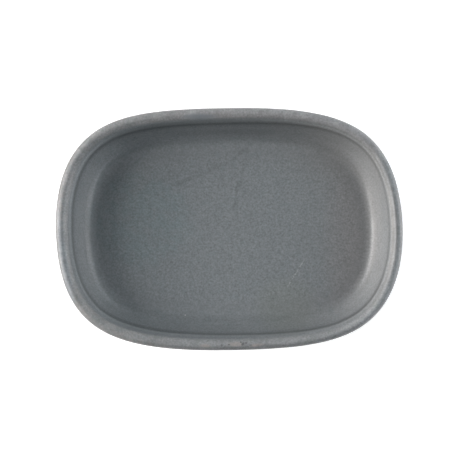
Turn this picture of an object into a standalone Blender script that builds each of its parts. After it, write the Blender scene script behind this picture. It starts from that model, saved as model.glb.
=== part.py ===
"""Oblong stoneware dish with a rolled rim: the fired clay body, the matte glaze over its
inside, rim and outer wall, and the glaze in the recess under its base.

Metres, +Z up. +X runs along the dish, and the origin is the middle of the foot's underside.
Every piece is one cross-section swept round the same oval outline, with a flat face at each
end of the section. A section is a path of points (inset, height), where inset is the
distance in from the outline. It runs from under the dish, up the outside and over the rim,
down to the floor inside, so the clay is always on its right.
"""

from math import ceil, copysign, cos, hypot, pi, radians, sin, tan

import bmesh
import bpy
from mathutils import Matrix, Vector

# Outside size.
LENGTH = 0.200
WIDTH = 0.140
HEIGHT = 0.037

# How far the oval's corners stand out past an ellipse, along its length and its width.
LENGTH_FULLNESS = 0.1275
WIDTH_FULLNESS = 0.322

# The rolled rim. Its top falls inwards from the shoulder to the inner edge.
RIM_SHOULDER_RADIUS = 0.0027
RIM_FALL = radians(34)
RIM_EDGE_INSET = 0.0074
RIM_EDGE_RADIUS = 0.0047
RIM_WIDTH = 0.0078
RIM_DROP = 0.0072
CREASE_UNDERCUT = 0.0008
CREASE_RADIUS = 0.0007
BEAD_DROP = 0.0076
BEAD_UNDER_DROP = 0.0104
BEAD_RADIUS = 0.0030

# The wall, which bows outwards, and the floor.
WALL_THICKNESS = 0.0060
WALL_BOW = 0.0018
WALL_BOW_RADIUS = 0.020
FLOOR_HEIGHT = 0.0085
FLOOR_INSET = 0.0166
FLOOR_FILLET_RADIUS = 0.0097
BELLY_RADIUS = 0.0090

# The bare foot ring, which leaves a recess inside it.
FOOT_HEIGHT = 0.0028
FOOT_INSET = 0.0205
FOOT_WIDTH = 0.0050
FOOT_EDGE_RADIUS = 0.0009
BARE_BAND = 0.0010

# The glaze. GAP keeps its mesh just clear of the clay that it is fused to.
GLAZE_THICKNESS = 0.0005
GAP = 0.0003
COAT = GLAZE_THICKNESS + GAP

# How finely the outline and the arcs of a section are divided.
STATIONS = 56
ARC_STEP = radians(24)
FLAT_MARGIN = 0.0015
SHARP_ANGLE = radians(40)

BARE_CLAY = {"colour": (0.36, 0.31, 0.25), "roughness": 0.85}
MATTE_GLAZE = {"colour": (0.19, 0.203, 0.21), "roughness": 0.50}

for leftover in list(bpy.data.objects):
    bpy.data.objects.remove(leftover)


def outline_point(turn, inset):
    """The oval's point at this turn, moved in by the inset, square to the oval."""
    x = LENGTH / 2 * cos(turn) * (1 + LENGTH_FULLNESS * sin(turn) ** 2)
    y = WIDTH / 2 * sin(turn) * (1 + WIDTH_FULLNESS * cos(turn) ** 2)
    run_x = -LENGTH / 2 * sin(turn) * (1 + LENGTH_FULLNESS * (1 - 3 * cos(turn) ** 2))
    run_y = WIDTH / 2 * cos(turn) * (1 + WIDTH_FULLNESS * (1 - 3 * sin(turn) ** 2))
    run = hypot(run_x, run_y)
    return x - run_y / run * inset, y + run_x / run * inset


def rounded_path(corners):
    """The path through corners (inset, height, radius), each rounded to its radius."""
    path = [Vector(corners[0][:2])]
    for before, corner, after in zip(corners, corners[1:], corners[2:]):
        point = Vector(corner[:2])
        radius = corner[2]
        back = (Vector(before[:2]) - point).normalized()
        ahead = (Vector(after[:2]) - point).normalized()
        turn = pi - back.angle(ahead)
        centre = point + (back + ahead).normalized() * radius / cos(turn / 2)
        spoke = point + back * radius * tan(turn / 2) - centre
        steps = ceil(turn / ARC_STEP) if radius else 0
        for step in range(steps + 1):
            swing = copysign(turn, ahead.cross(back)) * step / max(steps, 1)
            path.append(centre + Matrix.Rotation(swing, 2) @ spoke)
    path.append(Vector(corners[-1][:2]))
    return path


def moved_in(path, depth):
    """The path moved this deep into the clay, parallel to itself."""
    runs = [(after - before).normalized() for before, after in zip(path, path[1:])]
    sides = [Vector((run.y, -run.x)) for run in runs]
    moved = []
    for point, before, after in zip(path, sides[:1] + sides, sides + sides[-1:]):
        moved.append(point + (before + after) * depth / (1 + before.dot(after)))
    return moved


def point_at(start, end, height):
    """The point of the line from start to end at this height."""
    return start.lerp(end, (height - start.y) / (end.y - start.y))


def wall_points():
    """The corners of the wall's inner face: under the rim, its bowed middle, the floor."""
    crease = Vector((RIM_WIDTH - CREASE_UNDERCUT, HEIGHT - RIM_DROP))
    foot = Vector((FLOOR_INSET, FLOOR_HEIGHT))
    run = (foot - crease).normalized()
    middle = (crease + foot) / 2 + Vector((run.y, -run.x)) * WALL_BOW
    return [crease, middle, foot]


def glazed_path():
    """The glaze's surface, from its edge beside the foot to the floor inside."""
    half_turn = (pi / 2 + RIM_FALL) / 2
    shoulder = HEIGHT + RIM_SHOULDER_RADIUS * (tan(half_turn) - 1)
    rim_edge = shoulder - RIM_EDGE_INSET * tan(RIM_FALL)
    underside = FOOT_HEIGHT - COAT
    bead_under = HEIGHT - BEAD_UNDER_DROP
    inner = wall_points()
    outer = moved_in(inner, WALL_THICKNESS)
    return rounded_path(
        [
            (FOOT_INSET - BARE_BAND, underside, 0),
            (*point_at(outer[2], outer[1], underside), BELLY_RADIUS),
            (*outer[1], WALL_BOW_RADIUS + WALL_THICKNESS),
            (*point_at(outer[1], outer[0], bead_under), BEAD_RADIUS),
            (0, HEIGHT - BEAD_DROP, BEAD_RADIUS),
            (0, shoulder, RIM_SHOULDER_RADIUS),
            (RIM_EDGE_INSET, rim_edge, RIM_EDGE_RADIUS),
            (*inner[0], CREASE_RADIUS),
            (*inner[1], WALL_BOW_RADIUS),
            (*inner[2], FLOOR_FILLET_RADIUS),
            (FLOOR_INSET + FLOOR_FILLET_RADIUS + FLAT_MARGIN, FLOOR_HEIGHT, 0),
        ]
    )


def foot_path():
    """The bare clay, from the recess round the foot to the foot's outer side."""
    inner_side = FOOT_INSET + FOOT_WIDTH
    return rounded_path(
        [
            (inner_side + FLAT_MARGIN, FOOT_HEIGHT, 0),
            (inner_side, FOOT_HEIGHT, 0),
            (inner_side, 0, FOOT_EDGE_RADIUS),
            (FOOT_INSET, 0, FOOT_EDGE_RADIUS),
            (FOOT_INSET, FOOT_HEIGHT, 0),
        ]
    )


def material(name, look):
    """A Principled material of this colour and roughness."""
    made = bpy.data.materials.new(name)
    made.use_nodes = True
    shader = made.node_tree.nodes["Principled BSDF"]
    shader.inputs["Base Color"].default_value = (*look["colour"], 1)
    shader.inputs["Roughness"].default_value = look["roughness"]
    shader.inputs["Metallic"].default_value = 0
    return made


def swept_piece(name, path, look):
    """A closed piece: the path swept round the oval, with a flat face at each end."""
    shape = bmesh.new()
    rings = []
    for inset, height in path:
        ring = []
        for station in range(STATIONS):
            x, y = outline_point(2 * pi * station / STATIONS, inset)
            ring.append(shape.verts.new((x, y, height)))
        rings.append(ring)
    for ring, following in zip(rings, rings[1:]):
        for station in range(STATIONS):
            after = (station + 1) % STATIONS
            shape.faces.new(
                (ring[station], ring[after], following[after], following[station])
            )
    shape.faces.new(rings[0])
    shape.faces.new(rings[-1])
    bmesh.ops.recalc_face_normals(shape, faces=shape.faces)
    mesh = bpy.data.meshes.new(name)
    shape.to_mesh(mesh)
    shape.free()
    mesh.shade_smooth()
    mesh.set_sharp_from_angle(angle=SHARP_ANGLE)
    mesh.materials.append(material(name, look))
    piece = bpy.data.objects.new(name, mesh)
    bpy.context.scene.collection.objects.link(piece)


def stoneware_body():
    """The fired clay: the foot, and everything that the glaze covers."""
    swept_piece("stoneware_body", foot_path() + moved_in(glazed_path(), COAT), BARE_CLAY)


def glaze_coat():
    """The glaze over the inside, the rim and the outer wall, down to the bare foot."""
    surface = glazed_path()
    underside = moved_in(surface, GLAZE_THICKNESS)
    swept_piece("glaze_coat", underside[::-1] + surface, MATTE_GLAZE)


def base_glaze():
    """The glaze in the recess inside the foot ring."""
    edge = FOOT_INSET + FOOT_WIDTH + GAP
    section = [(edge, FOOT_HEIGHT - COAT), (edge, FOOT_HEIGHT - GAP)]
    swept_piece("base_glaze", section, MATTE_GLAZE)


stoneware_body()
glaze_coat()
base_glaze()
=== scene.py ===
"""The looks of the oblong stoneware dish: its clay body, the matte glaze over it and the glaze
under its base, each as a fine mesh with a procedural material, and a small pale studio.

Metres, +Z up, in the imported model's own frame. Every piece is one cross-section swept round
the same oval outline. A section is a path of points (inset, height), where inset is the
distance in from the outline. It runs from under the dish, up the outside and over the rim,
down to the floor inside, so the clay is always on its right.
"""

from collections import namedtuple
from math import atan2, ceil, copysign, cos, exp, hypot, pi, radians, sin, tan

import bmesh
import bpy
from mathutils import Matrix, Vector, noise


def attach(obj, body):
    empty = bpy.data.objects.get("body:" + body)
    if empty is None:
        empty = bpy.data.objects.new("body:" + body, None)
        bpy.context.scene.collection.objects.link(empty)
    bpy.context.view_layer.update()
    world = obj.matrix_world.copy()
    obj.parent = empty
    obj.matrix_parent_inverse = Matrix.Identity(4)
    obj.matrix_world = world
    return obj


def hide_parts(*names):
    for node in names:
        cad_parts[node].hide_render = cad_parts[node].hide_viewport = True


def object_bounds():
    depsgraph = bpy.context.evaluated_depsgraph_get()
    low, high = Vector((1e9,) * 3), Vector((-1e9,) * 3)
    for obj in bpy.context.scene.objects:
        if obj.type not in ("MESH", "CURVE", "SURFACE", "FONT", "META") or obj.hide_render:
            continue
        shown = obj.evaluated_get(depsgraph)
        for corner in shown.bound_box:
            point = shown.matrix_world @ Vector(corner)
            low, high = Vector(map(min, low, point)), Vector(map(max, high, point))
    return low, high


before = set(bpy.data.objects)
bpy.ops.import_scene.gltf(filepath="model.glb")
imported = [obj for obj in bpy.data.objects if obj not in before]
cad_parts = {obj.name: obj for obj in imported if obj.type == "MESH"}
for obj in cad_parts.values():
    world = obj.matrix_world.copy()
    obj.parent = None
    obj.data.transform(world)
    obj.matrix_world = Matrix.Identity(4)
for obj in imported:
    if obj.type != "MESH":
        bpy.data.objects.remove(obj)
cad_low, cad_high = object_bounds()
LENGTH, WIDTH, HEIGHT = cad_high - cad_low

# How far the oval's corners stand out past an ellipse, along its length and its width.
LENGTH_FULLNESS = 0.1275
WIDTH_FULLNESS = 0.322

# The rolled rim. Its top falls inwards from the shoulder to the inner edge.
RIM_SHOULDER_RADIUS = 0.0027
RIM_FALL = radians(34)
RIM_EDGE_INSET = 0.0074
RIM_EDGE_RADIUS = 0.0047
RIM_WIDTH = 0.0078
RIM_DROP = 0.0072
CREASE_UNDERCUT = 0.0008
CREASE_RADIUS = 0.0007
BEAD_DROP = 0.0076
BEAD_UNDER_DROP = 0.0104
BEAD_RADIUS = 0.0030

# The wall, which bows outwards, and the floor.
WALL_THICKNESS = 0.0060
WALL_BOW = 0.0018
WALL_BOW_RADIUS = 0.020
FLOOR_HEIGHT = 0.0085
FLOOR_INSET = 0.0166
FLOOR_FILLET_RADIUS = 0.0097
FLOOR_EDGE_INSET = 0.0278
BELLY_RADIUS = 0.0090

# The bare foot ring, which leaves a recess inside it.
FOOT_HEIGHT = 0.0025
FOOT_INSET = 0.0205
FOOT_WIDTH = 0.0050
FOOT_EDGE_RADIUS = 0.0009
FOOT_WAVER = 0.00012
FOOT_WAVER_SIZE = 0.012
FOOT_LINE_HEIGHT = 0.00003
FOOT_LINE_SPACING = 0.0009

# The glaze. Its hidden face is sunk a little into the clay, so that no gap shows at its lip.
GLAZE_THICKNESS = 0.0005
GLAZE_SINK = 0.0001
UNDERSIDE = FOOT_HEIGHT - GLAZE_THICKNESS
GLAZE_LIP_INSET = 0.0195
GLAZE_LIP_RADIUS = 0.00022
GLAZE_LIP_WANDER = 0.0007
LIP_WANDER_REACH = 0.003
LIP_WANDERS = 7
BASE_GLAZE_MARGIN = 0.0008

# How finely the meshes are divided.
STATIONS = 320
ARC_STEP = radians(7)
FINE_RUN = 0.0009
COARSE_RUN = 0.004
CENTRE_RUN = 0.0015

# The hand's marks. A waver is made of a few waves: (waves round the dish, size, turn of a
# crest). The outline wavers, and so does the line of the crease, so the rim is uneven.
OUTLINE_WAVES = (
    (3, 0.00017, radians(-2)),
    (4, 0.00027, radians(-22)),
    (5, 0.00009, radians(-8)),
    (8, 0.00008, radians(-20)),
)
CREASE_WAVES = (
    (1, 0.00070, radians(217)),
    (2, 0.00045, radians(89)),
    (3, 0.00024, radians(-17)),
)
CREASE_INSET = 0.0081
CREASE_BELT = 0.0030
GROOVE_DEPTH = 0.00012
GROOVE_SPREAD = 0.0006
RIDGE_INSET = 0.0071
RIDGE_HEIGHT = 0.00006
RIDGE_SPREAD = 0.0006
RIM_HEIGHT_WAVER = 0.00022
RIM_HEIGHT_WAVERS = 2
BULGE_HEIGHT = 0.00055
BULGE_BEARING = radians(167)
BULGE_REACH = radians(40)
BULGE_RISE = (0.0004, 0.0034)
SURFACE_WAVER = 0.00007
SURFACE_WAVER_SIZE = 0.016
KNEE_DEPTH = 0.00022
KNEE_FALL = (0.0158, 0.0176)
KNEE_RETURN = (0.0190, 0.0270)
WALL_RIDGE_HEIGHT = 0.000018
WALL_RIDGE_SPACING = 0.0023
WALL_RIDGE_WANDER = 2
WALL_RIDGE_WANDERS = 3
WALL_RIDGES_START = (0.014, 0.018)
WALL_RIDGES_END = (0.030, 0.036)

# Two shallow folds where dips of glaze met, each a line through these places in plan.
FOLDS = (
    ((-0.0335, 0.0260), (-0.0165, 0.0328), (0.0005, 0.0405), (0.0115, 0.0495)),
    ((0.0100, 0.0460), (0.0066, 0.0320), (0.0030, 0.0205), (0.0032, 0.0090)),
)
FOLD_RUNS = [run for fold in FOLDS for run in zip(fold, fold[1:])]
FOLD_DEPTH = 0.00004
FOLD_SPREAD = 0.0009

# How thin the glaze lies inside the dish, by inset: 1 on the rim and 0 on the floor.
THIN_BY_INSET = (
    (0.0050, 1.0),
    (0.0068, 0.0),
    (0.0096, 0.05),
    (0.0108, 0.45),
    (0.0220, 0.45),
    (0.0340, 0.0),
)
OUTER_WALL_THINNESS = 0.4

# Painted shade and highlight that make it darker or lighter than that, all round: (inset,
# spread, change). Shade on the rim's inner slope, in the crease, on the wall and where it curves
# into the floor, and a light line at the rim's inner edge that is partly painted highlight.
PAINTED_SHADE_BY_INSET = (
    (0.0058, 0.0008, -0.12),
    (0.0073, 0.0007, 0.24),
    (0.0083, 0.0007, -0.42),
    (0.0114, 0.0014, -0.04),
    (0.0178, 0.0028, -0.12),
    (0.0250, 0.0040, -0.06),
)
# Painted shade and highlight on one side only: (inset, spread, turn, spread round the dish,
# change). First the rim's outer edge and its top, then the crease, the wall, and the curve
# where the floor begins.
PAINTED_SHADE_PATCHES = (
    (0.0003, 0.0007, radians(177), radians(42), -0.60),
    (0.0007, 0.0012, radians(200), radians(60), -0.12),
    (0.0008, 0.0008, radians(0), radians(24), -0.28),
    (0.0010, 0.0012, radians(280), radians(35), -0.15),
    (0.0012, 0.0009, radians(150), radians(16), 0.20),
    (0.0014, 0.0014, radians(52), radians(38), 0.18),
    (0.0017, 0.0005, radians(182), radians(24), 0.22),
    (0.0024, 0.0012, radians(120), radians(16), 0.10),
    (0.0030, 0.0006, radians(180), radians(26), -0.12),
    (0.0030, 0.0016, radians(60), radians(15), 0.07),
    (0.0034, 0.0010, radians(330), radians(24), 0.14),
    (0.0035, 0.0009, radians(2), radians(28), -0.34),
    (0.0036, 0.0020, radians(330), radians(18), 0.16),
    (0.0044, 0.0013, radians(222), radians(30), 0.10),
    (0.0057, 0.0008, radians(0), radians(20), -0.10),
    (0.0058, 0.0016, radians(240), radians(20), 0.12),
    (0.0059, 0.0011, radians(0), radians(26), -0.28),
    (0.0062, 0.0010, radians(68), radians(30), -0.12),
    (0.0067, 0.0005, radians(180), radians(35), -0.20),
    (0.0068, 0.0008, radians(150), radians(16), 0.12),
    (0.0072, 0.0011, radians(262), radians(48), 0.10),
    (0.0075, 0.0005, radians(180), radians(35), 0.12),
    (0.0078, 0.0005, radians(262), radians(50), 0.14),
    (0.0078, 0.0007, radians(0), radians(26), 0.22),
    (0.0079, 0.0006, radians(320), radians(36), -0.14),
    (0.0084, 0.0006, radians(330), radians(18), -0.10),
    (0.0093, 0.0004, radians(238), radians(26), -0.14),
    (0.0095, 0.0006, radians(240), radians(20), -0.14),
    (0.0130, 0.0040, radians(345), radians(52), 0.10),
    (0.0132, 0.0022, radians(92), radians(14), -0.11),
    (0.0135, 0.0042, radians(74), radians(28), -0.14),
    (0.0138, 0.0018, radians(30), radians(15), 0.08),
    (0.0151, 0.0008, radians(0), radians(22), -0.08),
    (0.0152, 0.0010, radians(351), radians(24), -0.07),
    (0.0158, 0.0022, radians(181), radians(14), -0.12),
    (0.0160, 0.0010, radians(212), radians(22), 0.24),
    (0.0164, 0.0009, radians(150), radians(22), 0.22),
    (0.0171, 0.0012, radians(344), radians(9), 0.17),
    (0.0173, 0.0008, radians(351), radians(21), 0.19),
    (0.0174, 0.0012, radians(180), radians(16), -0.10),
    (0.0177, 0.0009, radians(0), radians(22), 0.16),
    (0.0177, 0.0010, radians(30), radians(14), -0.15),
    (0.0215, 0.0030, radians(351), radians(26), -0.06),
)
# Darker under the bead, towards the glaze's lip beside the foot, and at the edge of the base
# glaze.
DARKER_UNDER_BEAD = -0.16
DARKER_UNDER_BEAD_SPREAD = 0.0014
DARKER_AT_LIP = -0.12
DARKER_AT_LIP_TOP = 0.006
DARKER_AT_BASE_EDGE = (0.9, 1)

# The glaze's colours.
FLOOR_GLAZE = (0.198, 0.214, 0.223, 1)
THIN_GLAZE = (0.231, 0.243, 0.252, 1)
RUSTY_GLAZE = (0.266, 0.252, 0.245, 1)
SANDY_GLAZE = (0.225, 0.214, 0.196, 1)
MOSSY_GLAZE = (0.196, 0.212, 0.196, 1)
TEAL_GLAZE = (0.181, 0.213, 0.222, 1)
BLUISH_GLAZE = (0.219, 0.243, 0.266, 1)
DUSTY_GLAZE = (0.246, 0.244, 0.247, 1)
ROSY_GLAZE = (0.221, 0.217, 0.221, 1)
WARM_GLAZE = (0.213, 0.219, 0.221, 1)
DARK_GLAZE = (0.178, 0.203, 0.224, 1)
PALE_FLECK = (0.42, 0.44, 0.44, 1)
IRON_FLECK = (0.075, 0.066, 0.056, 1)
BARE_PATCH = (0.30, 0.275, 0.262, 1)
BURNT_SPECK = (0.080, 0.084, 0.088, 1)
BARE_PIN = (0.50, 0.50, 0.48, 1)

# The noise that varies the glaze: size of the largest blobs, detail, roughness, distortion.
DRIFT = (0.05, 2, 0.5, 0.6)
MOTTLE = (0.011, 3, 0.6, 0.4)
BLOTCH = (0.0065, 4, 0.6, 0.5)
GRIT = (0.0045, 2, 0.5, 0.0)
TINT = (0.0042, 2, 0.6, 0.0)
GRAIN = (0.0011, 2, 0.7, 0.0)
NOISE_MIDDLE = 0.5
DRIFT_REACH = 0.06

# How one thing follows another: between which two values of it, and from what to what.
RIM_BY_THIN = (0.5, 0.9, 0.0, 1.0)
BROKEN_BY_MOTTLE = (0.25, 0.55, 0.7, 1.1)
TEAL_BY_MOTTLE = (0.35, 0.6, 0.45, 1.0)
TEAL_BY_TINT = (0.35, 0.6, 0.6, 1.4)
STRAY_TEAL_BY_TINT = (0.5, 0.68, 0.0, 0.3)
RUST_BY_TINT = (0.42, 0.62, 0.0, 1.0)
RUST_BY_WARMTH = (0.0, 1.0, 1.0, 0.2)
MOSS_BY_TINT = (0.50, 0.34, 0.0, 0.4)
BARE_BY_GRAIN = (0.3, 0.6, 0.45, 0.85)
DARK_BY_GRAIN = (0.3, 0.6, 0.4, 0.8)
SCRATCH_BY_GRAIN = (0.35, 0.6, 0.0, 0.6)
ROUGHNESS_BY_MOTTLE = (0.3, 0.7, 0.46, 0.56)

# The same over the whole dish, by how far a place lies towards one bearing.
# The warm tint towards the right end is partly the painted warm colour of the key light there.
WARM_BEARING = radians(25)
WARM_RISE = (0.035, 0.100, 0.0, 1.0)
BROKEN_RISE = (-0.09, 0.03, 0.55, 1.0)
# And on one side only: the bearing first, then the same four.
SANDY_SIDE = (radians(232), 0.062, 0.092, 0.0, 0.1)
BLUISH_SIDE = (radians(190), 0.0935, 0.0965, 0.0, 0.7)
DUSTY_SIDE = (radians(80), 0.045, 0.062, 0.0, 0.5)
LESS_RUST_SIDE = (radians(285), 0.045, 0.060, 1.0, 0.5)
PLAIN_SLOPE_START = (radians(0), 0.0855, 0.0905, 0.0, 0.6)
PLAIN_SLOPE_END = (radians(0), 0.0985, 0.0955, 0.0, 1.0)
RUST_SHARE = 0.6
MOSS_SHARE = 0.45
WARM_SHARE = 0.8
ROSY_SHARE = 0.4

# Light and dark, and the relief that catches the light.
GRAIN_CONTRAST = 1.3
WALL_GRAIN = 0.75
RIM_GRAIN = 0.8
GRAIN_BY_THIN = (0.15, 0.4, 1.0, WALL_GRAIN)
GRAIN_BY_RIM = (0.0, 1.0, 1.0, RIM_GRAIN / WALL_GRAIN)
GRIT_CONTRAST = 0.12
CLOUD_CONTRAST = 0.12
RIM_CLOUD_CONTRAST = 0.75
FOLD_SHADE = -0.11
FOLD_RUN_REACH = 0.7
FOLD_SOFTNESS = 0.1
DIP_SHADE = 0.04
GLAZE_BUMP = 0.00004
GRIT_BUMP = 0.6
GLAZE_SPECULAR = 0.65

# Marks seen from above: middle, bearing, half length, half width, and the share of the way
# out where the mark starts to fade.
# The teal patch at the left end is partly the painted cool colour of the shade there.
TEAL_PATCH = ((-0.052, 0.006), 0.0, 0.036, 0.034, 0.2)
MOSSY_PATCH = ((0.032, -0.044), 0.0, 0.022, 0.020, 0.2)
ROSY_PATCH = ((0.0665, -0.0100), 0.0, 0.0150, 0.0480, 0.2)
DARK_PATCH = ((-0.0170, 0.0648), 0.0, 0.0125, 0.0024, 0.1)
DIP = ((0.042, 0.030), 0.0, 0.044, 0.040, 0.3)
SCRATCH = ((0.0382, -0.0255), radians(58), 0.0125, 0.0005, 0.5)
PINHOLE = ((-0.0266, -0.0500), 0.0, 0.0004, 0.0004, 0.5)
BARE_PATCHES = (
    ((0.0040, -0.0664), 0.0, 0.0056, 0.0018, 0.1),
    ((-0.0138, -0.0672), radians(-4), 0.0040, 0.0014, 0.1),
    ((0.0158, -0.0670), radians(6), 0.0050, 0.0012, 0.1),
)
BURNT_SPECKS = (
    ((0.0081, -0.0663), radians(50), 0.0015, 0.0010, 0.2),
    ((0.0099, -0.0657), radians(90), 0.0008, 0.0006, 0.2),
    ((0.0069, -0.0653), radians(-50), 0.0008, 0.0005, 0.2),
    ((0.0001, -0.0667), 0.0, 0.0008, 0.0006, 0.2),
    ((-0.0040, -0.0671), radians(90), 0.0010, 0.0005, 0.2),
    ((0.0126, -0.0669), 0.0, 0.0012, 0.0004, 0.2),
)
BURNT_SHARE = 0.85

# Flecks scattered all over: size of their cells, their radius, the share of cells with one,
# how much they show, and their colour.
GLAZE_FLECKS = (
    (0.0042, 0.00035, 0.3, 0.35, PALE_FLECK),
    (0.0085, 0.00030, 0.3, 0.5, IRON_FLECK),
)
PICK_SOFTNESS = 0.02

# The bare clay.
PALE_CLAY = (0.40, 0.345, 0.275, 1)
TOASTED_CLAY = (0.32, 0.262, 0.200, 1)
GROG = (0.52, 0.47, 0.40, 1)
CLAY_CLOUD = (0.012, 3, 0.55, 0.5)
SAND = (0.0007, 3, 0.7, 0.0)
TOASTED_BY_CLOUD = (0.3, 0.7, 0.0, 1.0)
SHADE_BY_SAND = (0.25, 0.75, 0.82, 1.16)
CLAY_ROUGHNESS_BY_CLOUD = (0.3, 0.7, 0.8, 0.92)
CLAY_FLECKS = (
    (0.0028, 0.0004, 0.35, 0.7, GROG),
    (0.0046, 0.0003, 0.4, 0.85, IRON_FLECK),
)
CLAY_BUMP = 0.00006
CLAY_SPECULAR = 0.3

# The studio. Lights stand round the dish and aim at it.
LIGHT_AIM = Vector((0, 0, 0.03))
LIGHT_SIZE = 0.5
LIGHT_DISTANCE = 1.2
TOP_LIGHT_DISTANCE = 1.6
LOW = radians(10)
MIDDLE = radians(32)
HIGH = radians(88)
# (height above the horizon, bearing from +X, watts, colour)
LIGHTS = (
    (LOW, radians(0), 8.0, (1.08, 1.0, 0.99)),
    (LOW, radians(45), 2.45, (1.0, 1.0, 0.97)),
    (LOW, radians(90), 0.45, (1.0, 1.0, 1.0)),
    (LOW, radians(135), 1.1, (1.1, 1.0, 1.02)),
    (LOW, radians(180), 17.0, (1.065, 1.0, 0.96)),
    (MIDDLE, radians(0), 3.9, (0.83, 1.0, 1.08)),
    (MIDDLE, radians(120), 1.6, (0.89, 1.0, 1.06)),
    (MIDDLE, radians(180), 8.8, (1.02, 1.0, 0.99)),
    (HIGH, radians(0), 2.35, (0.99, 1.0, 1.03)),
)
CAMERA_DISTANCE = 1.9
CAMERA_TILT = radians(2.3)
CAMERA_TILT_BEARING = radians(-20)
CAMERA_AIM_DROP = 0.003
CAMERA_AIM = Vector((0, 0, HEIGHT - CAMERA_AIM_DROP))
CAMERA_REACH = 10.0
VIEW_WIDTH = 0.2644
SENSOR_WIDTH = 36.0
STAGE_SIZE = 6.0
STAGE_DROP = 0.0002
STAGE_GLOW = 0.63
STAGE_FAR_GLOW = 1.0
STAGE_GLOW_RISE = (0.3, 1.2)
STAGE_COLOUR = (0.8, 0.8, 0.8, 1)
STAGE_ROUGHNESS = 0.9
STAGE_SPECULAR = 0.1
WHITE = (1, 1, 1, 1)

# One point of a section: where it is, the step that leads one metre into the clay, how far
# along the section it lies from the rim's crown (inwards is positive), if it is seen, and
# its share of the way out from the middle, which is 1 except where an end is filled in.
Spot = namedtuple("Spot", "point step reach shown share")


def smooth(value, low, high):
    """0 below low, 1 above high, and an even S between them."""
    share = min(max((value - low) / (high - low), 0), 1)
    return share * share * (3 - 2 * share)


def band(value, middle, spread):
    """A soft bump, 1 at the middle."""
    return exp(-(((value - middle) / spread) ** 2))


# ---------------------------------------------------------------- the section


def outline_point(turn, inset):
    """The oval's point at this turn, moved in by the inset, square to the oval."""
    x = LENGTH / 2 * cos(turn) * (1 + LENGTH_FULLNESS * sin(turn) ** 2)
    y = WIDTH / 2 * sin(turn) * (1 + WIDTH_FULLNESS * cos(turn) ** 2)
    run_x = -LENGTH / 2 * sin(turn) * (1 + LENGTH_FULLNESS * (1 - 3 * cos(turn) ** 2))
    run_y = WIDTH / 2 * cos(turn) * (1 + WIDTH_FULLNESS * (1 - 3 * sin(turn) ** 2))
    run = hypot(run_x, run_y)
    return x - run_y / run * inset, y + run_x / run * inset


def rounded_path(corners):
    """The path through corners (inset, height, radius), each rounded to its radius."""
    path = [Vector(corners[0][:2])]
    for before, corner, after in zip(corners, corners[1:], corners[2:]):
        point = Vector(corner[:2])
        radius = corner[2]
        back = (Vector(before[:2]) - point).normalized()
        ahead = (Vector(after[:2]) - point).normalized()
        turn = pi - back.angle(ahead)
        centre = point + (back + ahead).normalized() * radius / cos(turn / 2)
        spoke = point + back * radius * tan(turn / 2) - centre
        steps = ceil(turn / ARC_STEP) if radius else 0
        for step in range(steps + 1):
            swing = copysign(turn, ahead.cross(back)) * step / max(steps, 1)
            path.append(centre + Matrix.Rotation(swing, 2) @ spoke)
    path.append(Vector(corners[-1][:2]))
    return path


def divided(path, longest):
    """The path with its long runs cut into equal parts no longer than this."""
    points = [path[0]]
    for before, after in zip(path, path[1:]):
        parts = max(1, ceil((after - before).length / longest))
        for part in range(1, parts + 1):
            points.append(before.lerp(after, part / parts))
    return points


def steps_in(path):
    """For each point of the path, the step that takes it one metre deep into the clay."""
    runs = [(after - before).normalized() for before, after in zip(path, path[1:])]
    sides = [Vector((run.y, -run.x)) for run in runs]
    return [
        (before + after) / (1 + before.dot(after))
        for before, after in zip(sides[:1] + sides, sides + sides[-1:])
    ]


def moved_in(path, depth):
    """The path moved this deep into the clay, parallel to itself."""
    return [point + step * depth for point, step in zip(path, steps_in(path))]


def point_at(start, end, height):
    """The point of the line from start to end at this height."""
    return start.lerp(end, (height - start.y) / (end.y - start.y))


def wall_points():
    """The corners of the wall's inner face: under the rim, its bowed middle, the floor."""
    crease = Vector((RIM_WIDTH - CREASE_UNDERCUT, HEIGHT - RIM_DROP))
    foot = Vector((FLOOR_INSET, FLOOR_HEIGHT))
    run = (foot - crease).normalized()
    middle = (crease + foot) / 2 + Vector((run.y, -run.x)) * WALL_BOW
    return [crease, middle, foot]


def body_corners():
    """The corners of the glaze's surface, from the belly to the edge of the floor inside."""
    half_turn = (pi / 2 + RIM_FALL) / 2
    shoulder = HEIGHT + RIM_SHOULDER_RADIUS * (tan(half_turn) - 1)
    rim_edge = shoulder - RIM_EDGE_INSET * tan(RIM_FALL)
    inner = wall_points()
    outer = moved_in(inner, WALL_THICKNESS)
    belly = point_at(outer[2], outer[1], UNDERSIDE)
    under_bead = point_at(outer[1], outer[0], HEIGHT - BEAD_UNDER_DROP)
    return [
        (*belly, BELLY_RADIUS),
        (*outer[1], WALL_BOW_RADIUS + WALL_THICKNESS),
        (*under_bead, BEAD_RADIUS),
        (0, HEIGHT - BEAD_DROP, BEAD_RADIUS),
        (0, shoulder, RIM_SHOULDER_RADIUS),
        (RIM_EDGE_INSET, rim_edge, RIM_EDGE_RADIUS),
        (*inner[0], CREASE_RADIUS),
        (*inner[1], WALL_BOW_RADIUS),
        (*inner[2], FLOOR_FILLET_RADIUS),
        (FLOOR_EDGE_INSET, FLOOR_HEIGHT, 0),
    ]


def buried_path(depth):
    """The glazed part of the section, this deep under the glaze's surface."""
    return moved_in(rounded_path([(GLAZE_LIP_INSET, UNDERSIDE, 0), *body_corners()]), depth)


def glaze_path():
    """The glaze's surface, from its lip beside the foot to the floor inside."""
    lip_top = (GLAZE_LIP_INSET, FOOT_HEIGHT + GLAZE_SINK, 0)
    lip = (GLAZE_LIP_INSET, UNDERSIDE, GLAZE_LIP_RADIUS)
    return rounded_path([lip_top, lip, *body_corners()])


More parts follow.
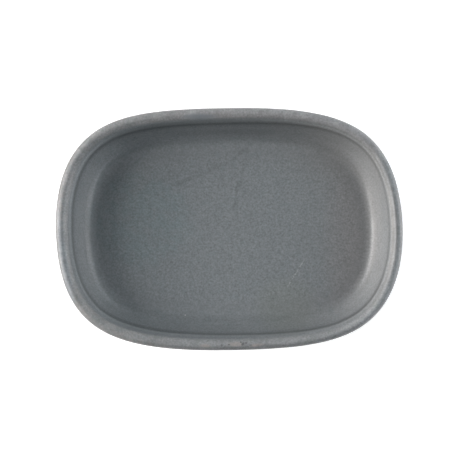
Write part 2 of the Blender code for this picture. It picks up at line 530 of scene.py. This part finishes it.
def foot_path():
    """The bare clay, from the recess round the foot to the foot's outer side."""
    inner_side = FOOT_INSET + FOOT_WIDTH
    return rounded_path(
        [
            (FLOOR_EDGE_INSET, FOOT_HEIGHT, 0),
            (inner_side, FOOT_HEIGHT, FOOT_EDGE_RADIUS / 2),
            (inner_side, 0, FOOT_EDGE_RADIUS),
            (FOOT_INSET, 0, FOOT_EDGE_RADIUS),
            (FOOT_INSET, FOOT_HEIGHT, FOOT_EDGE_RADIUS / 2),
            (GLAZE_LIP_INSET, FOOT_HEIGHT, 0),
        ]
    )


def base_glaze_path():
    """The glaze in the recess: its surface from the middle outwards, then its lip."""
    edge = FOOT_INSET + FOOT_WIDTH + BASE_GLAZE_MARGIN
    lip_top = FOOT_HEIGHT + GLAZE_SINK
    return rounded_path(
        [
            (FLOOR_EDGE_INSET, UNDERSIDE, 0),
            (edge, UNDERSIDE, GLAZE_LIP_RADIUS),
            (edge, lip_top, 0),
            (FLOOR_EDGE_INSET, lip_top, 0),
        ]
    )


# ---------------------------------------------------------------- the hand's marks


def wavered(waves, turn):
    """How far a wavering line strays from its even place at this turn."""
    return sum(size * cos(count * (turn - crest)) for count, size, crest in waves)


def round_noise(turn, count):
    """Noise that closes on itself round the dish, busier the higher the count."""
    return noise.noise(Vector((cos(turn), sin(turn), 0)) * count)


def hand_shaped(x, y, height):
    """Where the hand that formed the dish left this point: the outline and rim waver."""
    bearing = atan2(y / WIDTH, x / LENGTH)
    out = min(hypot(x / LENGTH, y / WIDTH) * 2, 1)
    swell = wavered(OUTLINE_WAVES, bearing) * out * out
    lift = RIM_HEIGHT_WAVER * round_noise(bearing, RIM_HEIGHT_WAVERS)
    lift *= smooth(height, HEIGHT / 2, HEIGHT)
    return Vector((x + swell * cos(bearing), y + swell * sin(bearing), height + lift))


def evened(inset, turn):
    """The inset with the crease's waver taken out of it, so that a mark can follow the crease."""
    near = band(inset, CREASE_INSET, CREASE_BELT)
    return inset - wavered(CREASE_WAVES, turn) * near


def eased(knots, value):
    """The value that the knots (place, value) give here, with an even S between two knots."""
    result = knots[0][1]
    for (place, level), (next_place, next_level) in zip(knots, knots[1:]):
        result += (next_level - level) * smooth(value, place, next_place)
    return result


def away_from(turn, middle):
    """How far round the dish this turn is from another."""
    return abs((turn - middle + pi) % (2 * pi) - pi)


def along_line(x, y, start, end):
    """How far along the line from start to end this place is, and how far off it."""
    line = Vector(end) - Vector(start)
    offset = Vector((x, y)) - Vector(start)
    return offset.dot(line) / line.length_squared, abs(offset.cross(line)) / line.length


def glaze_relief(spot, x, y, turn):
    """How far the glaze's surface stands out from its even place, in metres."""
    flow = Vector((x, y, spot.reach)) / SURFACE_WAVER_SIZE
    relief = SURFACE_WAVER * noise.noise(flow)
    wall = smooth(spot.reach, *WALL_RIDGES_START) * (1 - smooth(spot.reach, *WALL_RIDGES_END))
    wander = WALL_RIDGE_WANDER * round_noise(turn, WALL_RIDGE_WANDERS)
    relief += WALL_RIDGE_HEIGHT * wall * sin(2 * pi * spot.reach / WALL_RIDGE_SPACING + wander)
    if spot.reach > 0:
        even = evened(spot.point.x, turn)
        relief -= GROOVE_DEPTH * band(even, CREASE_INSET, GROOVE_SPREAD)
        relief += RIDGE_HEIGHT * band(even, RIDGE_INSET, RIDGE_SPREAD)
        inset = spot.point.x
        relief -= KNEE_DEPTH * (smooth(inset, *KNEE_FALL) - smooth(inset, *KNEE_RETURN))
    elif spot.point.y > HEIGHT - BEAD_UNDER_DROP:
        side = smooth(-spot.reach, *BULGE_RISE)
        side *= smooth(spot.point.y, HEIGHT - BEAD_UNDER_DROP, HEIGHT - BEAD_DROP)
        relief += BULGE_HEIGHT * side * band(away_from(turn, BULGE_BEARING), 0, BULGE_REACH)
    for start, end in FOLD_RUNS:
        share, off = along_line(x, y, start, end)
        relief -= FOLD_DEPTH * band(off, 0, FOLD_SPREAD) * band(share, 0.5, 0.5)
    return relief


def lip_wander(spot, turn):
    """How far the glaze's edge beside the foot strays from its even line."""
    near = smooth(spot.point.x, GLAZE_LIP_INSET - LIP_WANDER_REACH, GLAZE_LIP_INSET)
    if spot.point.y > FOOT_HEIGHT + GLAZE_THICKNESS:
        return 0.0
    return near * GLAZE_LIP_WANDER * round_noise(turn, LIP_WANDERS)


def no_wander(spot, turn):
    """For the pieces whose edges stay even."""
    return 0.0


def base_relief(spot, x, y, turn):
    """The base glaze lies a little unevenly."""
    return SURFACE_WAVER * noise.noise(Vector((x, y, 0)) / SURFACE_WAVER_SIZE)


def clay_relief(spot, x, y, turn):
    """How far the bare clay stands out: fine turned lines round the foot, and a hand's waver."""
    grain = noise.noise(Vector((x, y, spot.point.y)) / FOOT_WAVER_SIZE)
    lines = sin(2 * pi * spot.reach / FOOT_LINE_SPACING)
    off_ground = smooth(spot.point.y, 0, FOOT_EDGE_RADIUS)
    return (FOOT_WAVER * grain + FOOT_LINE_HEIGHT * lines) * off_ground


# ---------------------------------------------------------------- the meshes


def spots(path, shown=True):
    """The path's spots, each with its reach from the path's highest point."""
    reaches = [0.0]
    for before, after in zip(path, path[1:]):
        reaches.append(reaches[-1] + (after - before).length)
    crown = reaches[max(range(len(path)), key=lambda index: path[index].y)]
    return [
        Spot(point, step, reach - crown, shown, 1.0)
        for point, step, reach in zip(path, steps_in(path), reaches)
    ]


def painted_patch_shade(inset, turn):
    """The painted shade and highlight of the patches that lie on one side only."""
    shade = 0.0
    for place, spread, middle, reach, change in PAINTED_SHADE_PATCHES:
        shade += change * band(inset, place, spread) * band(away_from(turn, middle), 0, reach)
    return shade


def glaze_look(spot, turn):
    """How thin the glaze lies at this spot, and how much lighter or darker it is painted there."""
    inset, height = spot.point
    if spot.reach > 0:
        inset = evened(inset, turn) + (WIDTH / 2 - inset) * (1 - spot.share)
        # Painted shade and highlight: the bands that run all round, and the patches on one side.
        changes = (change * band(inset, place, wide) for place, wide, change in PAINTED_SHADE_BY_INSET)
        return eased(THIN_BY_INSET, inset), sum(changes) + painted_patch_shade(inset, turn)
    # Outside: darker under the bead and towards the lip.
    bead = smooth(height, HEIGHT - BEAD_UNDER_DROP, HEIGHT - BEAD_DROP)
    shade = DARKER_UNDER_BEAD * band(height, HEIGHT - BEAD_UNDER_DROP, DARKER_UNDER_BEAD_SPREAD)
    shade += DARKER_AT_LIP * (1 - smooth(height, 0, DARKER_AT_LIP_TOP))
    edge = smooth(height, HEIGHT - BEAD_DROP, HEIGHT - RIM_SHOULDER_RADIUS)
    # Painted shade and highlight on the rim's outer edge.
    shade += painted_patch_shade(inset, turn) * edge
    return OUTER_WALL_THINNESS + (1 - OUTER_WALL_THINNESS) * bead, shade


def base_look(spot, turn):
    """The glaze in the recess lies thick, and is made darker towards its edge."""
    return OUTER_WALL_THINNESS / 2, DARKER_AT_LIP * smooth(spot.share, *DARKER_AT_BASE_EDGE)


def clay_look(spot, turn):
    """Bare clay has no glaze on it."""
    return 0.0, 0.0


class SweptShape:
    """A closed mesh: rings of vertices round the dish, filled in at both ends."""

    def __init__(self, relief, look, wander):
        self.relief = relief
        self.look = look
        self.wander = wander
        self.mesh = bmesh.new()
        self.thin = self.mesh.verts.layers.float.new("thin")
        self.shade = self.mesh.verts.layers.float.new("shade")

    def vertex(self, spot, turn):
        """The vertex where this spot of the section is at this turn."""
        inset, height = spot.point
        inset += self.wander(spot, turn)
        if spot.shown:
            x, y = outline_point(turn, inset)
            lift = self.relief(spot, x * spot.share, y * spot.share, turn)
            inset -= spot.step.x * lift
            height -= spot.step.y * lift
        x, y = outline_point(turn, inset)
        vertex = self.mesh.verts.new(hand_shaped(x * spot.share, y * spot.share, height))
        vertex[self.thin], vertex[self.shade] = self.look(spot, turn)
        return vertex

    def ring(self, spot, count):
        """A ring of this many vertices."""
        return [self.vertex(spot, 2 * pi * index / count) for index in range(count)]

    def join(self, ring, following):
        """The faces between a ring and the next, which has as many vertices or half."""
        count = len(following)
        for index in range(count):
            near, far = following[index], following[(index + 1) % count]
            if len(ring) == count:
                self.mesh.faces.new((ring[index], ring[(index + 1) % count], far, near))
                continue
            left, middle = ring[2 * index : 2 * index + 2]
            right = ring[(2 * index + 2) % len(ring)]
            self.mesh.faces.new((left, middle, near))
            self.mesh.faces.new((middle, far, near))
            self.mesh.faces.new((middle, right, far))

    def fill(self, ring, spot):
        """Fills a ring in with smaller ones, which have fewer vertices as they shrink."""
        radius = WIDTH / 2 - spot.point.x
        run = CENTRE_RUN if spot.shown else COARSE_RUN
        steps = ceil(radius / run)
        for step in range(1, steps):
            share = 1 - step / steps
            crowded = 2 * pi * radius * share / len(ring) < run / 2 and len(ring) % 2 == 0
            count = len(ring) // 2 if crowded else len(ring)
            following = self.ring(spot._replace(share=share), count)
            self.join(ring, following)
            ring = following
        middle = self.vertex(spot._replace(share=0.0), 0.0)
        for index, vertex in enumerate(ring):
            self.mesh.faces.new((vertex, ring[(index + 1) % len(ring)], middle))

    def sweep(self, section):
        """The rings of a whole section, joined and filled in."""
        rings = [self.ring(spot, STATIONS) for spot in section]
        for ring, following in zip(rings, rings[1:]):
            self.join(ring, following)
        self.fill(rings[0], section[0])
        self.fill(rings[-1], section[-1])

    def finished(self, name, material):
        """The smooth-shaded object with this material."""
        bmesh.ops.recalc_face_normals(self.mesh, faces=self.mesh.faces)
        mesh = bpy.data.meshes.new(name)
        self.mesh.to_mesh(mesh)
        self.mesh.free()
        mesh.shade_smooth()
        mesh.materials.append(material)
        piece = bpy.data.objects.new(name, mesh)
        bpy.context.scene.collection.objects.link(piece)
        return piece


def made_piece(name, section, relief, look, wander, material):
    """A piece that rides on the dish's one body."""
    shape = SweptShape(relief, look, wander)
    shape.sweep(section)
    piece = shape.finished(name, material)
    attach(piece, "root")
    return piece


def clay_body(material):
    """The clay: its bare foot is seen, and the rest is under the glaze."""
    foot = spots(divided(foot_path(), FINE_RUN))
    under_glaze = spots(divided(buried_path(GLAZE_THICKNESS), COARSE_RUN), shown=False)
    piece = made_piece("clay", foot + under_glaze[1:], clay_relief, clay_look, no_wander, material)
    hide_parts("stoneware_body")


def glaze_coat(material):
    """The glaze over the inside, the rim and the outer wall."""
    hidden = spots(divided(buried_path(GLAZE_THICKNESS + GLAZE_SINK), COARSE_RUN), shown=False)
    surface = spots(divided(glaze_path(), FINE_RUN))
    section = hidden[::-1] + surface[1:]
    piece = made_piece("glaze", section, glaze_relief, glaze_look, lip_wander, material)
    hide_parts("glaze_coat")


def base_glaze(material):
    """The glaze in the recess under the dish."""
    section = spots(divided(base_glaze_path(), FINE_RUN))
    piece = made_piece("base_glaze_field", section, base_relief, base_look, no_wander, material)
    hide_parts("base_glaze")


# ---------------------------------------------------------------- the materials


class Graph:
    """A material's nodes. Each call adds one node and gives back its output."""

    def __init__(self, name):
        self.material = bpy.data.materials.new(name)
        self.material.use_nodes = True
        self.nodes = self.material.node_tree.nodes
        self.shader = self.nodes["Principled BSDF"]
        self.place = self.nodes.new("ShaderNodeTexCoord").outputs["Object"]

    def feed(self, socket, value):
        """Links an output to this socket, or sets the socket to a number or a colour."""
        if isinstance(value, bpy.types.NodeSocket):
            self.material.node_tree.links.new(value, socket)
        else:
            socket.default_value = value

    def add(self, kind, values, output=0, **settings):
        """A node with these settings, fed with values {its socket: what goes in}."""
        node = self.nodes.new(kind)
        for name, setting in settings.items():
            setattr(node, name, setting)
        for socket, value in values.items():
            self.feed(node.inputs[socket], value)
        return node.outputs[output]

    def attribute(self, name):
        """A number that the mesh keeps for each vertex."""
        return self.add("ShaderNodeAttribute", {}, "Fac", attribute_name=name)

    def sum(self, first, second):
        return self.add("ShaderNodeMath", {0: first, 1: second}, operation="ADD")

    def product(self, first, second):
        return self.add("ShaderNodeMath", {0: first, 1: second}, operation="MULTIPLY")

    def ramp(self, value, low, high, to_low=0.0, to_high=1.0):
        """An even S from to_low, where the value is low, to to_high, where it is high."""
        values = {"Value": value, "From Min": low, "From Max": high}
        values |= {"To Min": to_low, "To Max": to_high}
        return self.add("ShaderNodeMapRange", values, interpolation_type="SMOOTHSTEP")

    def mix(self, share, first, second):
        """A colour between two."""
        return self.add("ShaderNodeMix", {0: share, 6: first, 7: second}, 2, data_type="RGBA")

    def scaled(self, vector, factor):
        """A colour or a place times a number."""
        return self.add("ShaderNodeVectorMath", {0: vector, "Scale": factor}, operation="SCALE")

    def noise(self, size, detail, roughness, distortion):
        """Cloudy noise whose largest blobs are about this size in metres."""
        values = {"Vector": self.place, "Scale": 1 / size, "Detail": detail}
        values |= {"Roughness": roughness, "Distortion": distortion}
        return self.add("ShaderNodeTexNoise", values)

    def specks(self, size, radius, share):
        """Round specks: cells of this size, some share of which hold one of this radius."""
        values = {"Vector": self.place, "Scale": 1 / size}
        distance = self.add("ShaderNodeTexVoronoi", values, "Distance")
        colour = self.add("ShaderNodeTexVoronoi", values, "Color")
        picked = self.ramp(colour, 1 - share, 1 - share + PICK_SOFTNESS)
        return self.product(self.ramp(distance, radius / size, radius / size / 2), picked)

    def dot(self, vector, towards):
        """The dot product of a vector with a fixed one."""
        values = {0: vector, 1: towards}
        return self.add("ShaderNodeVectorMath", values, "Value", operation="DOT_PRODUCT")

    def along(self, bearing):
        """How far each place lies from the middle towards this bearing, in metres."""
        return self.dot(self.place, (cos(bearing), sin(bearing), 0.0))

    def height(self):
        """How high each place lies, in metres."""
        return self.dot(self.place, (0.0, 0.0, 1.0))

    def side(self, bearing, low, high, to_low, to_high):
        """A ramp that follows how far each place lies towards this bearing."""
        return self.ramp(self.along(bearing), low, high, to_low, to_high)

    def mark(self, middle, bearing, half_length, half_width, soft):
        """A long or round mark seen from above: 1 in it, and 0 from its edge outwards."""
        values = {0: self.place, 1: (*middle, 0.0)}
        offset = self.add("ShaderNodeVectorMath", values, operation="SUBTRACT")
        parts = []
        for angle, half in ((bearing, half_length), (bearing + pi / 2, half_width)):
            part = self.dot(offset, (cos(angle) / half, sin(angle) / half, 0.0))
            parts.append(self.product(part, part))
        return self.ramp(self.sum(*parts), 1.0, soft * soft)

    def spread(self, noise, contrast):
        """Noise made to swing evenly about 0, this much."""
        return self.product(self.sum(noise, -NOISE_MIDDLE), contrast)

    def bump(self, height, metres):
        """Feeds the shader's normal with a relief this many metres high."""
        normal = self.add("ShaderNodeBump", {"Height": height, "Distance": metres}, "Normal")
        self.feed(self.shader.inputs["Normal"], normal)


def teal_share(graph, mottle, tint):
    """How teal the glaze is: most in one broad patch, and a little in blotches everywhere."""
    patch = graph.product(graph.mark(*TEAL_PATCH), graph.ramp(mottle, *TEAL_BY_MOTTLE))
    patch = graph.product(patch, graph.ramp(tint, *TEAL_BY_TINT))
    return graph.sum(patch, graph.ramp(tint, *STRAY_TEAL_BY_TINT))


def rust_share(graph, tint, warm, rim):
    """How rusty the rim's blotches are: less so at the warm end, and on the near side."""
    blotches = graph.product(rim, graph.ramp(tint, *RUST_BY_TINT))
    blotches = graph.product(blotches, graph.ramp(warm, *RUST_BY_WARMTH))
    blotches = graph.product(blotches, graph.side(*LESS_RUST_SIDE))
    return graph.product(blotches, RUST_SHARE)


def off_rim(graph, rim, share):
    """This share everywhere but on the rim, where it falls to nothing."""
    return graph.ramp(rim, 0.0, 1.0, share, 0.0)


def glaze_colour(graph, thin, mottle, rim):
    """The glaze's colour before its speckle: it drifts over the dish, and is broken on the rim."""
    tint = graph.noise(*TINT)
    drift = graph.spread(graph.noise(*DRIFT), DRIFT_REACH)
    wandering = graph.sum(graph.along(WARM_BEARING), drift)
    warm = graph.ramp(wandering, *WARM_RISE)
    broken = graph.product(thin, graph.ramp(mottle, *BROKEN_BY_MOTTLE))
    slope = graph.product(graph.side(*PLAIN_SLOPE_START), graph.side(*PLAIN_SLOPE_END))
    layers = (
        (graph.product(broken, graph.ramp(wandering, *BROKEN_RISE)), THIN_GLAZE),
        (rust_share(graph, tint, warm, rim), RUSTY_GLAZE),
        (graph.product(rim, graph.ramp(tint, *MOSS_BY_TINT)), MOSSY_GLAZE),
        (graph.product(rim, graph.side(*SANDY_SIDE)), SANDY_GLAZE),
        # The broad patch in it is partly the painted cool colour of the shade at the left end.
        (teal_share(graph, mottle, tint), TEAL_GLAZE),
        (graph.product(rim, graph.side(*BLUISH_SIDE)), BLUISH_GLAZE),
        (graph.product(rim, graph.side(*DUSTY_SIDE)), DUSTY_GLAZE),
        (graph.product(graph.mark(*MOSSY_PATCH), MOSS_SHARE), MOSSY_GLAZE),
        # Partly the painted warm colour of the key light on the right end.
        (graph.product(warm, off_rim(graph, rim, WARM_SHARE)), WARM_GLAZE),
        (graph.product(graph.mark(*ROSY_PATCH), off_rim(graph, rim, ROSY_SHARE)), ROSY_GLAZE),
        (slope, FLOOR_GLAZE),
    )
    colour = FLOOR_GLAZE
    for share, glaze in layers:
        colour = graph.mix(share, colour, glaze)
    return colour


def flecked(graph, colour, size, radius, share, strength, fleck):
    """The colour with specks of this size, radius and share, which show this much."""
    return graph.mix(graph.product(graph.specks(size, radius, share), strength), colour, fleck)


def with_marks(graph, colour, grain):
    """The colour with the flecks in the glaze and the marks that the dish has in one place."""
    height = graph.height()
    inside = graph.ramp(height, UNDERSIDE, FLOOR_HEIGHT)
    rim_top = graph.ramp(height, HEIGHT - BEAD_DROP, HEIGHT - RIM_SHOULDER_RADIUS * 2)
    for flecks in GLAZE_FLECKS:
        colour = flecked(graph, colour, *flecks)
    for patch in BARE_PATCHES:
        share = graph.product(graph.mark(*patch), graph.ramp(grain, *BARE_BY_GRAIN))
        colour = graph.mix(graph.product(share, rim_top), colour, BARE_PATCH)
    share = graph.product(graph.mark(*DARK_PATCH), graph.ramp(grain, *DARK_BY_GRAIN))
    colour = graph.mix(graph.product(share, rim_top), colour, DARK_GLAZE)
    for speck in BURNT_SPECKS:
        share = graph.product(graph.mark(*speck), rim_top)
        colour = graph.mix(graph.product(share, BURNT_SHARE), colour, BURNT_SPECK)
    scratch = graph.product(graph.mark(*SCRATCH), graph.ramp(grain, *SCRATCH_BY_GRAIN))
    colour = graph.mix(graph.product(scratch, inside), colour, PALE_FLECK)
    return graph.mix(graph.product(graph.mark(*PINHOLE), inside), colour, BARE_PIN)


def fold_mark(graph, start, end):
    """One run of a fold, whose ends fade where the next run takes over."""
    line = Vector(end) - Vector(start)
    middle = (Vector(start) + Vector(end)) / 2
    reach = line.length * FOLD_RUN_REACH
    return graph.mark(middle, atan2(line.y, line.x), reach, 2 * FOLD_SPREAD, FOLD_SOFTNESS)


def speckle(graph, thin, rim, grain):
    """The fine grain, about 1: strongest on the floor, and fainter on the wall."""
    contrast = graph.product(graph.ramp(thin, *GRAIN_BY_THIN), GRAIN_CONTRAST)
    contrast = graph.product(contrast, graph.ramp(rim, *GRAIN_BY_RIM))
    return graph.sum(graph.spread(grain, contrast), 1.0)


def glaze_level(graph, thin, rim, mottle, grain, grit):
    """How light the glaze is, about 1: painted shade and highlight, a dip, folds, speckle, clouds.
    """
    level = graph.sum(graph.attribute("shade"), 1.0)
    level = graph.sum(level, graph.product(graph.mark(*DIP), DIP_SHADE))
    for start, end in FOLD_RUNS:
        level = graph.sum(level, graph.product(fold_mark(graph, start, end), FOLD_SHADE))
    fine = graph.sum(speckle(graph, thin, rim, grain), graph.spread(grit, GRIT_CONTRAST))
    clouds = graph.sum(graph.spread(mottle, CLOUD_CONTRAST), 1.0)
    blotches = graph.product(graph.spread(graph.noise(*BLOTCH), RIM_CLOUD_CONTRAST), rim)
    return graph.product(graph.product(level, fine), graph.sum(clouds, blotches))


def glaze_material():
    """The matte blue-grey glaze: warm and light where thin, painted shade and highlight, speckled.
    """
    graph = Graph("matte_glaze")
    thin = graph.attribute("thin")
    rim = graph.ramp(thin, *RIM_BY_THIN)
    mottle = graph.noise(*MOTTLE)
    grain = graph.noise(*GRAIN)
    grit = graph.noise(*GRIT)
    colour = glaze_colour(graph, thin, mottle, rim)
    colour = graph.scaled(colour, glaze_level(graph, thin, rim, mottle, grain, grit))
    shader = graph.shader.inputs
    graph.feed(shader["Base Color"], with_marks(graph, colour, grain))
    graph.feed(shader["Roughness"], graph.ramp(mottle, *ROUGHNESS_BY_MOTTLE))
    shader["Specular IOR Level"].default_value = GLAZE_SPECULAR
    graph.bump(graph.sum(grain, graph.product(grit, GRIT_BUMP)), GLAZE_BUMP)
    return graph.material


def clay_material():
    """Bare fired stoneware: sandy, buff-grey, with grog and iron specks."""
    graph = Graph("bare_stoneware")
    cloud = graph.noise(*CLAY_CLOUD)
    sand = graph.noise(*SAND)
    colour = graph.mix(graph.ramp(cloud, *TOASTED_BY_CLOUD), PALE_CLAY, TOASTED_CLAY)
    colour = graph.scaled(colour, graph.ramp(sand, *SHADE_BY_SAND))
    for flecks in CLAY_FLECKS:
        colour = flecked(graph, colour, *flecks)
    shader = graph.shader.inputs
    graph.feed(shader["Base Color"], colour)
    graph.feed(shader["Roughness"], graph.ramp(cloud, *CLAY_ROUGHNESS_BY_CLOUD))
    shader["Specular IOR Level"].default_value = CLAY_SPECULAR
    graph.bump(sand, CLAY_BUMP)
    return graph.material


# ---------------------------------------------------------------- the studio


def studio_floor():
    """A plain white floor that glows a little, and more far from the dish, so it stays pale."""
    graph = Graph("studio_floor")
    shader = graph.shader.inputs
    shader["Base Color"].default_value = STAGE_COLOUR
    shader["Roughness"].default_value = STAGE_ROUGHNESS
    shader["Specular IOR Level"].default_value = STAGE_SPECULAR
    shader["Emission Color"].default_value = WHITE
    away = graph.add("ShaderNodeVectorMath", {0: graph.place}, "Value", operation="LENGTH")
    glow = graph.ramp(away, *STAGE_GLOW_RISE, STAGE_GLOW, STAGE_FAR_GLOW)
    graph.feed(shader["Emission Strength"], glow)
    half = STAGE_SIZE / 2
    corners = [(-half, -half), (half, -half), (half, half), (-half, half)]
    mesh = bpy.data.meshes.new("studio_floor")
    mesh.from_pydata([(x, y, -STAGE_DROP) for x, y in corners], [], [(0, 1, 2, 3)])
    mesh.materials.append(graph.material)
    floor = bpy.data.objects.new("studio_floor", mesh)
    bpy.context.scene.collection.objects.link(floor)


def backdrop():
    """A pale world that the camera sees, and that gives no light of its own."""
    world = bpy.data.worlds.new("backdrop")
    world.use_nodes = True
    nodes = world.node_tree.nodes
    links = world.node_tree.links
    pale = nodes["Background"]
    pale.inputs["Color"].default_value = WHITE
    seen = nodes.new("ShaderNodeLightPath").outputs["Is Camera Ray"]
    links.new(seen, pale.inputs["Strength"])
    bpy.context.scene.world = world


def aimed(thing, place, aim):
    """Puts a light at this place, facing the aim."""
    thing.location = place
    thing.rotation_euler = (aim - place).to_track_quat("-Z", "Y").to_euler()


def studio_light(name, height, bearing, watts, colour):
    """A square softbox that the camera doesn't see."""
    data = bpy.data.lights.new(name, "AREA")
    data.size = LIGHT_SIZE
    data.energy = watts
    data.color = colour
    light = bpy.data.objects.new(name, data)
    bpy.context.scene.collection.objects.link(light)
    distance = TOP_LIGHT_DISTANCE if height == HIGH else LIGHT_DISTANCE
    flat = cos(height) * distance
    place = Vector((flat * cos(bearing), flat * sin(bearing), sin(height) * distance))
    aimed(light, LIGHT_AIM + place, LIGHT_AIM)
    light.visible_camera = False


def studio_camera():
    """Almost straight above, with the dish's long side across the view."""
    data = bpy.data.cameras.new("camera")
    data.sensor_width = SENSOR_WIDTH
    data.lens = SENSOR_WIDTH * CAMERA_DISTANCE / VIEW_WIDTH
    data.clip_end = CAMERA_REACH
    camera = bpy.data.objects.new("camera", data)
    bpy.context.scene.collection.objects.link(camera)
    flat = sin(CAMERA_TILT)
    back = Vector(
        (flat * cos(CAMERA_TILT_BEARING), flat * sin(CAMERA_TILT_BEARING), cos(CAMERA_TILT))
    )
    right = Vector((0, 1, 0)).cross(back).normalized()
    turned = Matrix((right, back.cross(right), back)).transposed().to_4x4()
    camera.matrix_world = Matrix.Translation(CAMERA_AIM + back * CAMERA_DISTANCE) @ turned
    bpy.context.scene.camera = camera


glaze = glaze_material()
clay_body(clay_material())
glaze_coat(glaze)
base_glaze(glaze)
studio_floor()
backdrop()
for number, (height, bearing, watts, colour) in enumerate(LIGHTS):
    studio_light(f"softbox_{number}", height, bearing, watts, colour)
studio_camera()
bpy.context.scene.view_settings.view_transform = "Standard"
